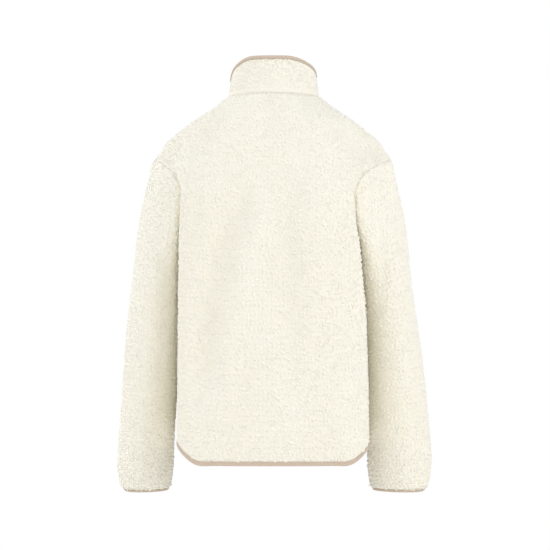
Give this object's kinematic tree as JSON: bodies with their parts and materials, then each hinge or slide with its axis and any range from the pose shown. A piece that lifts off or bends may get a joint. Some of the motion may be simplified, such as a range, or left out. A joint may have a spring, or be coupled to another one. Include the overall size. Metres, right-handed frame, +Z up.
{
  "type": "pile fleece jacket",
  "caption": "Boxy pile fleece jacket in its worn shape, with a stand collar, a full front zip, long sleeves and a narrow bound edge at collar, cuffs and curved hem.",
  "frame": {"origin": "centre of the base of the neck, level with the tops of the shoulder seams, where the wearer's shoulders hold the jacket up", "axes": "+Z up, the front with its zip faces -Y, the jacket's left sleeve is at +X"},
  "size_m": [0.5427, 0.2564, 0.7405],
  "materials": {
    "pile_fleece": "curled cream pile on a knitted backing, matt with a soft nap",
    "stretch_binding": "taupe knitted stretch binding, folded and topstitched",
    "zip_tape": "cream woven zip tape",
    "zip_teeth": "cream moulded zip teeth, satin",
    "zip_metal": "satin nickel plate"
  },
  "bodies": {
    "jacket": {"back": "pile_fleece", "front_left": "pile_fleece", "front_right": "pile_fleece", "collar": "pile_fleece", "sleeve_left": "pile_fleece", "sleeve_right": "pile_fleece", "collar_binding": "stretch_binding", "hem_binding": "stretch_binding", "cuff_binding_left": "stretch_binding", "cuff_binding_right": "stretch_binding", "zip_tape_left": "zip_tape", "zip_tape_right": "zip_tape", "zip_chain": "zip_teeth", "zip_slider": "zip_metal"},
    "zip_pull": {"zip_pull": "zip_metal"}
  },
  "joints": [
    {"name": "zip_pull_swing", "type": "hinge", "parent": "jacket", "child": "zip_pull", "pos_m": [0, -0.08896, -0.01942], "axis": [-1, 0, 0], "range_deg": [0, 150]}
  ]
}
